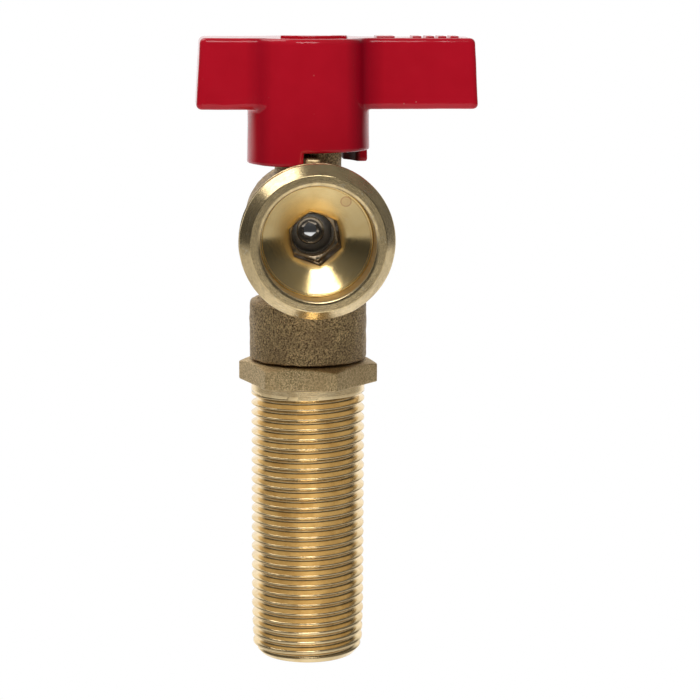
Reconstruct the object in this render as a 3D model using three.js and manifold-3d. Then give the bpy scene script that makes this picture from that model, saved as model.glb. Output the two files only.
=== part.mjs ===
// Quarter-turn hose valve: a brass body with an upright threaded inlet shank, a hose-thread outlet
// facing -Y, and a red two-armed handle on top. Millimetres, +Z up, +X along the handle's long arm.
// The origin is on the shank's axis in the plane of the hex flange's underside.
import * as THREE from 'three';
import { mergeVertices } from 'three/addons/utils/BufferGeometryUtils.js';
import Module from 'manifold-3d';

const wasm = await Module();
wasm.setup();

// ---- driving dimensions ------------------------------------------------------------------------
const gap = 0.3;                 // left between pieces that touch
const overrun = 1;               // how far a cutting tool runs past the face that it cuts
const overlap = 0.01;            // shared by two shapes that join end to end
const halfBlock = 6;             // half the width of a block that cuts right across the stem
const fine = 40;                 // facets round a large turned shape
const coarse = 24;               // facets round a small one, and per turn of a thread
const threadRoom = 0.6;          // clearance of a thread's envelope, which only shapes its ends

const pipeThread = { pitch: 25.4 / 14, crest: 10.4, root: 9.25 };        // 1/2-14 straight
const hoseThread = { pitch: 25.4 / 11.5, crest: 13.5, root: 12.15 };     // 3/4-11.5 hose

const shank = { bottom: -51.2, endRadius: 8.9, endChamfer: 1.5, collar: 1.8 };
const inletBore = { radius: 6.35, socketRadius: 7.95, socketDepth: 13 };
const hex = { flats: 22.2, height: 4, cornerDrop: 0.6, topInset: 0.4, cornerAngle: -70.4 };
const spigot = { radius: 8, top: 12.5 };

const axisHeight = 28;           // of the outlet and the ball, above the hex flange's underside
const boss = { radius: 10.65, bottom: 4.4, top: 15.3, round: 1, waist: 8.9, waistTop: 23 };
const chamber = { outer: 11.2, bore: 8.7, back: 11.4, pocketFloor: 9, backRound: 2.6, inletRadius: 5.6 };
const outlet = { face: -25.7, ringOuter: 11.73, leadBack: 2.8, threadBack: -18, threadRunOut: 1.8,
  shoulderRadius: 12, shoulderBack: -11.6, shoulderSlope: 0.4 };
const neck = { radius: 6, top: 50, chamfer: 0.6, foot: 33 };
const lug = { left: -1.25, right: 1.3, front: -12.5, top: 41.6, foot: 36 };

const ballRadius = 7.5;
const portRadius = 3.5;
const slot = { width: 3.2, floor: 5 };                                   // floor above the ball's centre
const seat = { inner: 3.7, outer: 8.4, contact: 7, face: 8.7 };          // face: distance from the axis
const retainer = { outer: 9.6, back: -9, mouth: -21, mouthRadius: 9.3, lip: 0.3, socketMouth: -17.9,
  socketFloor: -12, socketRadius: 4.8, socketAngle: 19.7, bore: 3.7 };
const retainerStep = -retainer.back - gap;      // where the chamber widens for the retainer
const retainerGroove = { front: -12.2, back: -10.5, radius: 8.4, major: 8.9, minor: 0.45 };  // and its ring

const stem = { radius: 3.6, flangeRadius: 4.4, flangeBottom: 36.8, flangeTop: 37.9, tangBottom: 33.3,
  tangHalfWidth: 1.3, tangHalfLength: 3, top: 57.2, driveBottom: 50.1, driveRadius: 3.5, driveFlats: 5.4,
  tappedRadius: 2, tappedBottom: 50.5 };
const stemRing = { groove: 2.4, grooveWidth: 1.8, major: 3.15, minor: 0.45, heights: [42.5, 46.5] };
const washer = { inner: 3.9, outer: 4.6, bottom: 38.2, top: 39 };

const hub = { radius: 11.07, topRadius: 10.75, top: 62.4, round: 1, cavity: 8.9, cavityTop: 50.4,
  highSkirt: 42.5, lowSkirt: 40 };
const beyond = 20;               // a distance outside the handle's hub
const lowStretches = [{ x: [-beyond, -1.55], y: [-beyond, 3] }, { x: [6.7, beyond], y: [1.6, 8.8] }];
const wing = { bottom: 49.8, left: -19.5, right: 29.6, draft: 0.75, corner: 1.6, edge: 0.9, wall: 2.2,
  pocketTop: 58.5, pocketStart: 11.5,
  shortArm: { root: 6.9, tip: 6.3 }, longArm: { root: 5.1, tip: 4.5 } };   // half widths
const recess = { radius: 4.7, floor: 59.2, hole: 2.1 };
const lockWasher = { inner: 2.1, outer: 3.7, bottom: 59.5, thickness: 0.8, split: 0.8, splitAngle: 130 };
const screw = { shaft: 1.6, shaftBottom: 51.2, head: 3.5, headBottom: 60.6, headTop: 62.1,
  drive: 0.9, driveDepth: 1.1, driveReach: 2.1, driveAngle: 25 };

// ---- helpers -----------------------------------------------------------------------------------
const degrees = (angle) => angle * Math.PI / 180;
const point = (x, y) => new THREE.Vector2(x, y);

// Turns a closed three.js geometry into a solid: merges its vertices and drops collapsed faces.
function solid(source) {
  const bare = source.index ? source.toNonIndexed() : source.clone();
  for (const name of Object.keys(bare.attributes)) if (name !== 'position') bare.deleteAttribute(name);
  const merged = mergeVertices(bare, 1e-4);
  const position = merged.attributes.position;
  const triangles = [];
  for (let i = 0; i < merged.index.count; i += 3) {
    const corners = [0, 1, 2].map((k) => merged.index.getX(i + k));
    if (new Set(corners).size === 3) triangles.push(...corners);
  }
  const make = () => new wasm.Manifold(new wasm.Mesh({ numProp: 3,
    vertProperties: new Float32Array(position.array), triVerts: new Uint32Array(triangles) }));
  const first = make();
  if (first.volume() > 0) return first;
  for (let i = 0; i < triangles.length; i += 3) {
    [triangles[i], triangles[i + 1]] = [triangles[i + 1], triangles[i]];
  }
  return make();
}

// A solid turned about +Z from [radius, height] points.
function turned(profile, facets = fine) {
  const geometry = new THREE.LatheGeometry(profile.map(([r, z]) => point(r, z)), facets);
  return solid(geometry.rotateX(Math.PI / 2));
}

// A solid turned about the outlet's axis from [radius, y] points.
function turnedAlongOutlet(profile, facets = fine) {
  const geometry = new THREE.LatheGeometry(profile.map(([r, y]) => point(r, y)), facets);
  return solid(geometry.translate(0, 0, axisHeight));
}

const rod = (radius, low, high, facets) =>
  turned([[0, low], [radius, low], [radius, high], [0, high]], facets);
const tube = (inner, outer, low, high, facets) =>
  turned([[inner, low], [outer, low], [outer, high], [inner, high], [inner, low]], facets);
const outletRod = (radius, from, to, facets) =>
  turnedAlongOutlet([[0, from], [radius, from], [radius, to], [0, to]], facets);

// Points of a quarter circle that rounds a profile's corner, from one angle to another.
function arc(centreR, centreZ, radius, from, to, steps = 4) {
  return Array.from({ length: steps + 1 }, (_, i) => {
    const angle = degrees(from + (to - from) * i / steps);
    return [centreR + radius * Math.cos(angle), centreZ + radius * Math.sin(angle)];
  });
}

function block(x0, x1, y0, y1, z0, z1) {
  const geometry = new THREE.BoxGeometry(x1 - x0, y1 - y0, z1 - z0);
  return solid(geometry.translate((x0 + x1) / 2, (y0 + y1) / 2, (z0 + z1) / 2));
}

// A rod with a V thread along +Z. The rows of vertices climb one pitch per turn, so the last column
// is the first one moved up by a pitch; both ends are closed to the axis. A crest passes
// crestAngle at height zero.
function threadedRod({ pitch, crest, root }, low, high, crestAngle, columns = coarse) {
  const rowsPerPitch = 2;
  const step = pitch / rowsPerPitch;
  const firstRow = Math.floor(low / step) - 2 * rowsPerPitch;
  const rows = Math.ceil((high - low) / step) + 3 * rowsPerPitch;
  const vertex = (column, row) => {
    const turn = column / columns;
    const angle = degrees(crestAngle) + 2 * Math.PI * turn;
    const radius = (firstRow + row) % rowsPerPitch === 0 ? crest : root;
    return [radius * Math.cos(angle), radius * Math.sin(angle), (firstRow + row) * step + turn * pitch];
  };
  const faces = [];
  const at = (column, row) => (column === columns ? vertex(0, row + rowsPerPitch) : vertex(column, row));
  for (let column = 0; column < columns; column++) {
    for (let row = 0; row < rows; row++) {
      const [a, b] = [at(column, row), at(column + 1, row)];
      const [c, d] = [at(column + 1, row + 1), at(column, row + 1)];
      faces.push(a, b, c, a, c, d);
    }
  }
  for (const [row, flip] of [[0, false], [rows, true]]) {
    const centre = [0, 0, vertex(0, row)[2]];
    const rim = [];
    for (let column = 0; column < columns; column++) rim.push(vertex(column, row));
    for (let up = rowsPerPitch; up > 0; up--) rim.push(vertex(0, row + up));
    rim.forEach((from, i) => {
      const to = rim[(i + 1) % rim.length];
      faces.push(centre, ...(flip ? [from, to] : [to, from]));
    });
  }
  const geometry = new THREE.BufferGeometry();
  geometry.setAttribute('position', new THREE.Float32BufferAttribute(faces.flat(), 3));
  return solid(geometry);
}

const materials = {
  castBrass: new THREE.MeshStandardMaterial({ color: 0x6e5a41, roughness: 0.6, metalness: 0.9 }),
  turnedBrass: new THREE.MeshStandardMaterial({ color: 0xc8a564, roughness: 0.3, metalness: 1 }),
  chrome: new THREE.MeshStandardMaterial({ color: 0xd8d8d8, roughness: 0.1, metalness: 1 }),
  steel: new THREE.MeshStandardMaterial({ color: 0xb4b4b0, roughness: 0.35, metalness: 1 }),
  ptfe: new THREE.MeshStandardMaterial({ color: 0xefeee8, roughness: 0.5, metalness: 0 }),
  rubber: new THREE.MeshStandardMaterial({ color: 0x151515, roughness: 0.7, metalness: 0 }),
  redPaint: new THREE.MeshStandardMaterial({ color: 0xa01624, roughness: 0.2, metalness: 0 }),
};

const valve = new THREE.Group();

function addPiece(name, shape, material) {
  const { numProp, vertProperties, triVerts } = shape.getMesh();
  const geometry = new THREE.BufferGeometry();
  const positions = new Float32Array(vertProperties.length / numProp * 3);
  for (let i = 0; i < positions.length / 3; i++) {
    positions.set(vertProperties.subarray(i * numProp, i * numProp + 3), i * 3);
  }
  geometry.setAttribute('position', new THREE.BufferAttribute(positions, 3));
  geometry.setIndex(new THREE.BufferAttribute(triVerts, 1));
  geometry.computeVertexNormals();
  const mesh = new THREE.Mesh(geometry, material.clone());
  mesh.name = name;
  valve.add(mesh);
}

// ---- valve body --------------------------------------------------------------------------------
// Cast boss, ball chamber, outlet with hose thread, stem neck and the stop lug, bored through.
function valveBody() {
  const bossShape = turned([[0, boss.bottom],
    ...arc(boss.radius - boss.round, boss.bottom + boss.round, boss.round, -90, 0),
    ...arc(boss.radius - boss.round, boss.top - boss.round, boss.round, 0, 90),
    [boss.waist, boss.top], [boss.waist, boss.waistTop], [0, boss.waistTop]]);
  const underThread = hoseThread.root - threadRoom;
  const chamberShape = turnedAlongOutlet([[0, outlet.threadBack - 1], [underThread, outlet.threadBack - 1],
    [underThread, outlet.threadBack], [outlet.shoulderRadius, outlet.threadBack],
    [outlet.shoulderRadius, outlet.shoulderBack], [chamber.outer, outlet.shoulderBack + outlet.shoulderSlope],
    ...arc(chamber.outer - chamber.backRound, chamber.back - chamber.backRound, chamber.backRound, 0, 90),
    [0, chamber.back]]);
  const leadSlope = outlet.leadBack / (hoseThread.crest - outlet.ringOuter);
  const clearRadius = hoseThread.crest + threadRoom;
  const threadEnvelope = turnedAlongOutlet([[0, outlet.face], [outlet.ringOuter, outlet.face],
    [clearRadius, outlet.face + outlet.leadBack + threadRoom * leadSlope],
    [clearRadius, outlet.threadBack - outlet.threadRunOut],
    [hoseThread.root, outlet.threadBack + threadRoom], [0, outlet.threadBack + threadRoom]]);
  const thread = threadedRod(hoseThread, outlet.face - 3, outlet.threadBack + 3, 0)
    .rotate([-90, 0, 0]).translate([0, 0, axisHeight]).intersect(threadEnvelope);
  const neckShape = turned([[0, neck.foot], [neck.radius, neck.foot], [neck.radius, neck.top - neck.chamfer],
    [neck.radius - neck.chamfer, neck.top], [0, neck.top]]);
  const lugShape = block(lug.left, lug.right, lug.front, 0, lug.foot, lug.top);
  const passages = [
    outletRod(chamber.bore, -retainerStep, chamber.pocketFloor),
    outletRod(retainer.outer + gap, outlet.face - overrun, -retainerStep + overlap),
    rod(chamber.inletRadius, spigot.top, axisHeight, coarse),
    rod(spigot.radius + gap, boss.bottom - overrun, spigot.top + gap, coarse),
    rod(washer.outer + gap, axisHeight, washer.top + gap, coarse),
    rod(stem.radius + gap, axisHeight, neck.top + overrun, coarse),
  ];
  const outside = [chamberShape, thread, neckShape, lugShape].reduce((sum, next) => sum.add(next), bossShape);
  return passages.reduce((rest, passage) => rest.subtract(passage), outside);
}

// ---- inlet shank -------------------------------------------------------------------------------
// Pipe-threaded shank with a hex flange and a spigot that screws into the body's boss.
function inletShank() {
  const clearRadius = pipeThread.crest + threadRoom;
  const envelope = turned([[0, shank.bottom], [shank.endRadius, shank.bottom],
    [clearRadius, shank.bottom + shank.endChamfer + threadRoom], [clearRadius, -shank.collar / 2],
    [0, -shank.collar / 2]]);
  const thread = threadedRod(pipeThread, shank.bottom - 2, 2, -90).intersect(envelope);
  const collar = rod(pipeThread.crest, -shank.collar, 1);
  const circumradius = hex.flats / Math.sqrt(3);
  const prism = solid(new THREE.CylinderGeometry(circumradius, circumradius, hex.height, 6)
    .rotateX(Math.PI / 2).translate(0, 0, hex.height / 2)).rotate([0, 0, hex.cornerAngle + 90]);
  const flatRadius = hex.flats / 2;
  const shoulder = hex.height - hex.cornerDrop;
  const chamferCone = turned([[0, -overrun], [circumradius + overrun, -overrun],
    [circumradius + overrun, shoulder], [circumradius, shoulder],
    [flatRadius - hex.topInset, hex.height], [0, hex.height]]);
  const spigotShape = rod(spigot.radius, 0, spigot.top, coarse);
  return thread.add(collar).add(prism.intersect(chamferCone)).add(spigotShape)
    .subtract(rod(inletBore.radius, shank.bottom - overrun, spigot.top + overrun, coarse))
    .subtract(rod(inletBore.socketRadius, shank.bottom - overrun,
      shank.bottom + inletBore.socketDepth, coarse));
}

// ---- seat retainer -----------------------------------------------------------------------------
// Screwed deep into the outlet against the front seat: a shallow cone leads to the key's hex socket.
function seatRetainer() {
  const shape = turnedAlongOutlet([[retainer.bore, retainer.back], [retainer.outer, retainer.back],
    [retainer.outer, retainerGroove.back], [retainerGroove.radius, retainerGroove.back],
    [retainerGroove.radius, retainerGroove.front], [retainer.outer, retainerGroove.front],
    [retainer.outer, retainer.mouth + 0.2], [retainer.outer - 0.2, retainer.mouth],
    [retainer.mouthRadius, retainer.mouth], [retainer.mouthRadius - 0.1, retainer.mouth + retainer.lip],
    [retainer.socketRadius, retainer.socketMouth], [retainer.bore, retainer.socketMouth],
    [retainer.bore, retainer.back]]);
  const length = retainer.socketFloor - retainer.socketMouth + 2 * overrun;
  const socket = solid(new THREE.CylinderGeometry(retainer.socketRadius, retainer.socketRadius, length, 6)
    .rotateY(degrees(90 + retainer.socketAngle))
    .translate(0, retainer.socketFloor - length / 2, axisHeight));
  return shape.subtract(socket);
}

// ---- seats, ball and seals ---------------------------------------------------------------------
// A PTFE ring whose inner edge follows the ball; side -1 is the outlet's, +1 the back's.
function ballSeat(side) {
  const hollow = ballRadius + gap;
  const onBall = (radius) => Math.sqrt(hollow ** 2 - radius ** 2);
  const steps = 3;
  const cup = Array.from({ length: steps + 1 }, (_, i) => {
    const radius = seat.inner + (seat.contact - seat.inner) * i / steps;
    return [radius, side * onBall(radius)];
  });
  return turnedAlongOutlet([[seat.inner, side * seat.face], ...cup,
    [seat.outer, side * onBall(seat.contact)], [seat.outer, side * seat.face],
    [seat.inner, side * seat.face]], coarse);
}

// An angle ball: its bore runs up from below and turns out through the +X side.
function valveBall() {
  const sphere = solid(new THREE.SphereGeometry(ballRadius, 32, 16).rotateX(Math.PI / 2));
  const upright = rod(portRadius, -ballRadius - overrun, 0, coarse);
  const sideways = rod(portRadius, 0, ballRadius + overrun, coarse).rotate([0, 90, 0]);
  const elbow = solid(new THREE.SphereGeometry(portRadius, coarse, 12).rotateX(Math.PI / 2));
  const slotShape = block(-slot.width / 2, slot.width / 2, -ballRadius - overrun, ballRadius + overrun,
    slot.floor, ballRadius + overrun);
  return sphere.subtract(upright).subtract(sideways).subtract(elbow).subtract(slotShape)
    .translate([0, 0, axisHeight]);
}

function ring(major, minor) {
  return solid(new THREE.TorusGeometry(major, minor, 6, coarse));
}

// ---- stem --------------------------------------------------------------------------------------
// Fitted from inside the chamber: the tang turns the ball and the flange keeps the stem in.
function valveStem() {
  const half = stemRing.grooveWidth / 2;
  const grooves = stemRing.heights.flatMap((z) => [[stem.radius, z - half], [stemRing.groove, z - half],
    [stemRing.groove, z + half], [stem.radius, z + half]]);
  const shaft = turned([[0, stem.flangeBottom], [stem.flangeRadius, stem.flangeBottom],
    [stem.flangeRadius, stem.flangeTop], [stem.radius, stem.flangeTop], ...grooves,
    [stem.radius, stem.driveBottom], [stem.driveRadius, stem.driveBottom],
    [stem.driveRadius, stem.top], [0, stem.top]], coarse);
  const tang = rod(stem.tangHalfLength, stem.tangBottom, stem.flangeBottom + overlap, coarse)
    .intersect(block(-stem.tangHalfWidth, stem.tangHalfWidth, -halfBlock, halfBlock,
      stem.tangBottom, stem.flangeTop));
  const flat = block(stem.driveFlats / 2, halfBlock, -halfBlock, halfBlock,
    stem.driveBottom, stem.top + overrun);
  return shaft.add(tang).subtract(flat).subtract(flat.rotate([0, 0, 180]))
    .subtract(rod(stem.tappedRadius, stem.tappedBottom, stem.top + overrun, coarse));
}

// ---- handle ------------------------------------------------------------------------------------
// Outline of both arms seen from above, drawn in by inset on every side.
function armOutline(inset) {
  const { left, right, shortArm, longArm } = wing;
  const r = wing.corner - inset;
  const [shortTip, longTip] = [shortArm.tip - inset, longArm.tip - inset];
  const [from, to] = [left + inset, right - inset];
  const shape = new THREE.Shape();
  shape.moveTo(from + r, -shortTip).lineTo(-1, -shortArm.root + inset).lineTo(1, -longArm.root + inset);
  shape.lineTo(to - r, -longTip).absarc(to - r, -longTip + r, r, -Math.PI / 2, 0, false);
  shape.lineTo(to, longTip - r).absarc(to - r, longTip - r, r, 0, Math.PI / 2, false);
  shape.lineTo(1, longArm.root - inset).lineTo(-1, shortArm.root - inset).lineTo(from + r, shortTip);
  shape.absarc(from + r, shortTip - r, r, Math.PI / 2, Math.PI, false);
  shape.lineTo(from, -shortTip + r).absarc(from + r, -shortTip + r, r, Math.PI, 1.5 * Math.PI, false);
  return shape;
}

// Arms whose ends lean outwards towards the bottom, with a bevelled top edge.
function handleArms() {
  const height = hub.top - wing.bottom;
  const lean = (geometry) => {
    const position = geometry.attributes.position;
    for (let i = 0; i < position.count; i++) {
      const x = position.getX(i);
      const fall = (hub.top - position.getZ(i)) / height;
      position.setX(i, x + Math.sign(x) * wing.draft * fall * Math.min(1, Math.abs(x) / -wing.left));
    }
    return geometry;
  };
  const layer = (inset, depth) => solid(lean(new THREE.ExtrudeGeometry(armOutline(inset),
    { depth, bevelEnabled: false, curveSegments: 4 }).translate(0, 0, wing.bottom)));
  return layer(0, height - wing.edge).add(layer(wing.edge / 2, height));
}

function armPockets() {
  const { left, right, wall, pocketStart, shortArm, longArm } = wing;
  return [[left + wall, -pocketStart, shortArm.tip - wall], [pocketStart, right - wall, longArm.tip - wall]]
    .map(([from, to, half]) => block(from, to, -half, half, wing.bottom - overrun, wing.pocketTop));
}

// What the skirt loses below its high edge: all of it but the two low stretches that act as stops.
function skirtStep() {
  const bottom = hub.lowSkirt - overrun;
  const ring = rod(hub.radius + overrun, bottom, hub.highSkirt);
  return lowStretches.reduce((rest, { x, y }) =>
    rest.subtract(block(...x, ...y, bottom - overrun, hub.highSkirt + overrun)), ring);
}

function handleShape() {
  const outer = turned([[0, hub.lowSkirt], [hub.radius, hub.lowSkirt],
    ...arc(hub.topRadius - hub.round, hub.top - hub.round, hub.round, 0, 90), [0, hub.top]]);
  const shape = outer.add(handleArms());
  const holeBottom = hub.cavityTop - overrun;
  const holeTop = stem.top + gap;
  const halfHole = stem.driveFlats / 2 + gap;
  const stemHole = rod(stem.driveRadius + gap, holeBottom, holeTop, coarse)
    .intersect(block(-halfHole, halfHole, -halfBlock, halfBlock, holeBottom, holeTop));
  const cuts = [
    rod(hub.cavity, hub.lowSkirt - overrun, hub.cavityTop),
    skirtStep(),
    stemHole,
    rod(recess.radius, recess.floor, hub.top + overrun, coarse),
    rod(recess.hole, stem.top, recess.floor + overrun, coarse),
    ...armPockets(),
  ];
  return cuts.reduce((rest, cut) => rest.subtract(cut), shape);
}

// ---- handle screw and its split lock washer ----------------------------------------------------
function handleScrew() {
  const rise = screw.headTop - screw.headBottom;
  const body = turned([[0, screw.shaftBottom], [screw.shaft - 0.4, screw.shaftBottom],
    [screw.shaft, screw.shaftBottom + 0.6], [screw.shaft, screw.headBottom], [screw.head, screw.headBottom],
    [screw.head, screw.headBottom + rise * 0.45], [screw.head * 0.8, screw.headTop - rise * 0.15],
    [0, screw.headTop]], coarse);
  const cross = (turn) => block(-screw.drive / 2, screw.drive / 2, -screw.driveReach, screw.driveReach,
    screw.headTop - screw.driveDepth, screw.headTop + overrun).rotate([0, 0, turn]);
  return body.subtract(cross(screw.driveAngle)).subtract(cross(screw.driveAngle + 90));
}

function splitWasher() {
  const { inner, outer, bottom, thickness, split, splitAngle } = lockWasher;
  const top = bottom + thickness;
  const cut = block(0, outer + overrun, -split / 2, split / 2, bottom - overrun, top + overrun);
  return tube(inner, outer, bottom, top, coarse).subtract(cut.rotate([0, 0, splitAngle]));
}

// ---- assembly ----------------------------------------------------------------------------------
addPiece('valve_body', valveBody(), materials.castBrass);
addPiece('inlet_shank', inletShank(), materials.turnedBrass);
addPiece('seat_retainer', seatRetainer(), materials.turnedBrass);
const grooveMiddle = (retainerGroove.front + retainerGroove.back) / 2;
addPiece('retainer_o_ring', ring(retainerGroove.major, retainerGroove.minor)
  .rotate([90, 0, 0]).translate([0, grooveMiddle, axisHeight]), materials.rubber);
addPiece('front_seat', ballSeat(-1), materials.ptfe);
addPiece('rear_seat', ballSeat(1), materials.ptfe);
addPiece('ball', valveBall(), materials.chrome);
addPiece('stem', valveStem(), materials.turnedBrass);
addPiece('thrust_washer',
  tube(washer.inner, washer.outer, washer.bottom, washer.top, coarse), materials.ptfe);
['lower_stem_o_ring', 'upper_stem_o_ring'].forEach((name, i) => addPiece(name,
  ring(stemRing.major, stemRing.minor).translate([0, 0, stemRing.heights[i]]), materials.rubber));
addPiece('handle', handleShape(), materials.redPaint);
addPiece('handle_lock_washer', splitWasher(), materials.steel);
addPiece('handle_screw', handleScrew(), materials.steel);

export default valve;
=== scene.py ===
# Visual model of a quarter-turn hose valve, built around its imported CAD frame.
# Lengths in this script are millimetres until mesh_piece() turns them into metres.
import math

import bpy
import numpy as np
from mathutils import Matrix, Vector


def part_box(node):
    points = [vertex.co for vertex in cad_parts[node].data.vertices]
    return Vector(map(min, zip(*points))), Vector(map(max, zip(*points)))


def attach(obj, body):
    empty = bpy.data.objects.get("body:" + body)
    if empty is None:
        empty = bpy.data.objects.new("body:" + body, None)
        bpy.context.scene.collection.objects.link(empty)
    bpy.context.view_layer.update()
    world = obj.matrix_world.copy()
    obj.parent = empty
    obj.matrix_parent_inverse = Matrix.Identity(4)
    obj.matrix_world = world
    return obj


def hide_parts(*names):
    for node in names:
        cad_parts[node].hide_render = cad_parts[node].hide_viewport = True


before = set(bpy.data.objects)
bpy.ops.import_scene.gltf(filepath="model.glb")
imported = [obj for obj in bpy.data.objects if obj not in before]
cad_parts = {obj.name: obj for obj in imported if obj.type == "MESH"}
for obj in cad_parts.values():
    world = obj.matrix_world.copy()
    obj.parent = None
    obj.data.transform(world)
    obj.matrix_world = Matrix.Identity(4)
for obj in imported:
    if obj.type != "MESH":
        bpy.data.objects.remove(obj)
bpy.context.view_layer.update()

MM = 0.001
INCH = 25.4
RNG = np.random.default_rng(7)


# ---- sizes -------------------------------------------------------------------------------------
def span(node):
    """A node's lowest and highest corner in millimetres."""
    low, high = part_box(node)
    return np.array(low) / MM, np.array(high) / MM


BODY_LOW = span("valve_body")[0]
SHANK_LOW, SHANK_HIGH = span("inlet_shank")
BALL_LOW, BALL_HIGH = span("ball")
RETAINER_LOW = span("seat_retainer")[0]
STEM_LOW, STEM_HIGH = span("stem")
THRUST_LOW, THRUST_HIGH = span("thrust_washer")
WASHER_LOW, WASHER_HIGH = span("handle_lock_washer")
SCREW_LOW, SCREW_HIGH = span("handle_screw")
HUB_TOP = span("handle")[1][2]

AXIS = (BALL_LOW[2] + BALL_HIGH[2]) / 2              # height of the outlet's axis
FACE = BODY_LOW[1]                                   # the outlet's end face
THREAD_BACK = -18.0                                  # the outlet's thread runs out here
MACHINED_BEFORE = -12.4                              # in front of this the casting is machined
SOCKET_MOUTH = -18.0                                 # where the key's hex socket starts in the cone
STAIN = (5.1, AXIS + 6.7)                            # x and z of a dried drop on the cone
COUNTERBORE_R = 9.9
SHANK_END = SHANK_LOW[2]
SHANK_BORE_R = 6.35
SPIGOT_TOP = SHANK_HIGH[2]
HEX_TOP = 4.0
HEX_CORNER = -70.4                                   # direction of one corner, in degrees
NECK_TOP = 50.0
HUB_R = 11.07
SKIRT_LOW = 40.0
SKIRT_HOLLOW_R = 8.9
WING_BOTTOM = 49.8
GROOVE_HEIGHTS = (42.5, 46.5)                        # of the stem's two o-rings
STEM_GROOVE_MAJOR = 3.15
PIPE = dict(pitch=INCH / 14, crest=10.4, depth=1.14)
HOSE = dict(pitch=INCH / 11.5, crest=13.5, depth=1.35)


# ---- meshes ------------------------------------------------------------------------------------
def mesh_piece(name, points, faces, body, replaced, material):
    """A named object from points in millimetres, riding on a CAD body in place of CAD nodes."""
    mesh = bpy.data.meshes.new(name)
    mesh.from_pydata((np.asarray(points) * MM).tolist(), [], [list(map(int, f)) for f in faces])
    mesh.validate()
    mesh.polygons.foreach_set("use_smooth", [True] * len(mesh.polygons))
    mesh.materials.append(material)
    piece = bpy.data.objects.new(name, mesh)
    bpy.context.collection.objects.link(piece)
    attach(piece, body)
    if replaced:
        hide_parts(*replaced)


def weld(points, faces, tolerance=1e-4):
    """Joins points that coincide and drops the faces that collapse."""
    keys = np.round(np.asarray(points) / tolerance).astype(np.int64)
    _, first, same = np.unique(keys, axis=0, return_index=True, return_inverse=True)
    same = same.reshape(-1)
    kept = []
    for face in same[np.asarray(faces)]:
        ring = [p for i, p in enumerate(face) if p != face[i - 1]]
        if len(set(ring)) == len(ring) and len(ring) >= 3:
            kept.append(ring)
    return np.asarray(points)[first], kept


def polar_rows(rows, angles):
    """Rows of points round +Z, joined by quads. A row's radius and height are one number or one per angle."""
    points = []
    for radius, height in rows:
        r = np.broadcast_to(radius, angles.shape)
        z = np.broadcast_to(height, angles.shape)
        points.append(np.stack([r * np.cos(angles), r * np.sin(angles), z], axis=1))
    count, columns = len(rows), len(angles)
    row, column = np.meshgrid(np.arange(count - 1), np.arange(columns), indexing="ij")
    after = (column + 1) % columns
    faces = np.stack([row * columns + column, row * columns + after,
                      (row + 1) * columns + after, (row + 1) * columns + column], axis=-1)
    return np.concatenate(points), faces.reshape(-1, 4)


def even_angles(columns, start=0.0):
    return math.radians(start) + np.arange(columns) * 2 * math.pi / columns


def turned(rows, angles):
    """A closed body from its closed profile, counter-clockwise in the (radius, height) plane."""
    return weld(*polar_rows(rows + [rows[0]], angles))


def along_outlet(points):
    """Turns a body made round +Z so that its +Z points along +Y, on the outlet's axis."""
    p = np.asarray(points)
    return np.stack([p[:, 0], p[:, 2], -p[:, 1] + AXIS], axis=1)


# One turn of a thread: the share of the pitch, and the depth below the crest as a share of the full depth.
THREAD_STEPS = [(-0.09, 0.09), (-0.055, 0.015), (0.0, 0.0), (0.055, 0.015), (0.09, 0.09), (0.18, 0.33),
                (0.3, 0.65), (0.4, 0.92), (0.45, 0.985), (0.5, 1.0), (0.55, 0.985), (0.6, 0.92),
                (0.7, 0.65), (0.82, 0.33)]
THREAD_FADE = 0.6                                    # length over which a thread begins


def helix_rows(thread, low, high, envelope, angles, crest_angle, crest_height, land):
    """Rows that follow a right-hand thread from low to high and run out on its envelope."""
    pitch, crest, depth = thread["pitch"], thread["crest"], thread["depth"]
    lift = pitch * (angles - math.radians(crest_angle)) / (2 * math.pi) + crest_height
    first = math.floor((low - lift.max()) / pitch) - 2
    last = math.ceil((high - lift.min()) / pitch) + 2
    rows = []
    for turn in range(first, last + 1):
        for place, drop in THREAD_STEPS:
            height = (turn + place) * pitch + lift
            inside = np.clip(height, low, high)
            begun = np.clip((inside - low - land) / THREAD_FADE, 0, 1)
            radius = np.minimum(crest - depth * drop * begun, envelope(inside))
            radius = np.where(inside == height, radius, envelope(inside))
            rows.append((radius, inside))
    return rows


def threaded(thread, low, high, envelope, rest, columns, crest_angle, crest_height=0.0, land=-1.0):
    """A body whose outside is a thread that begins land past its low end; rest closes the profile."""
    angles = even_angles(columns)
    rows = helix_rows(thread, low, high, envelope, angles, crest_angle, crest_height, land)
    grid, faces = polar_rows(rows, angles)
    seam = faces[:, 1] % columns == 0
    faces[seam, 1:3] += len(THREAD_STEPS) * columns
    faces = faces[(faces < len(grid)).all(axis=1)]
    ends = [(float(envelope(np.array([height]))[0]), height) for height in (high, low)]
    tail, tail_faces = polar_rows([ends[0], *rest, ends[1]], angles)
    return weld(np.concatenate([grid, tail]), np.concatenate([faces, tail_faces + len(grid)]))


# ---- bodies shaped by a distance field ---------------------------------------------------------
def blend_min(a, b, reach):
    """Union of two fields with a fillet."""
    h = np.maximum(reach - np.abs(a - b), 0) / reach
    return np.minimum(a, b) - h * h * reach / 4


def round_both(a, b, radius):
    """Intersection of two fields whose edge has a true radius."""
    outside = np.hypot(np.maximum(a + radius, 0), np.maximum(b + radius, 0))
    return outside + np.minimum(np.maximum(a, b) + radius, 0) - radius


def cut(field, tool, edge):
    """The field without the tool, with its edges eased."""
    return -blend_min(-field, tool, edge)


def slab(value, low, high):
    return np.maximum(low - value, value - high)


def disc(u, v, radius):
    return np.hypot(u, v) - radius


def pillar(u, v, along, radius, low, high, edge):
    """A round bar of the radius from low to high, with rounded ends."""
    return round_both(disc(u, v, radius), slab(along, low, high), edge)


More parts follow.
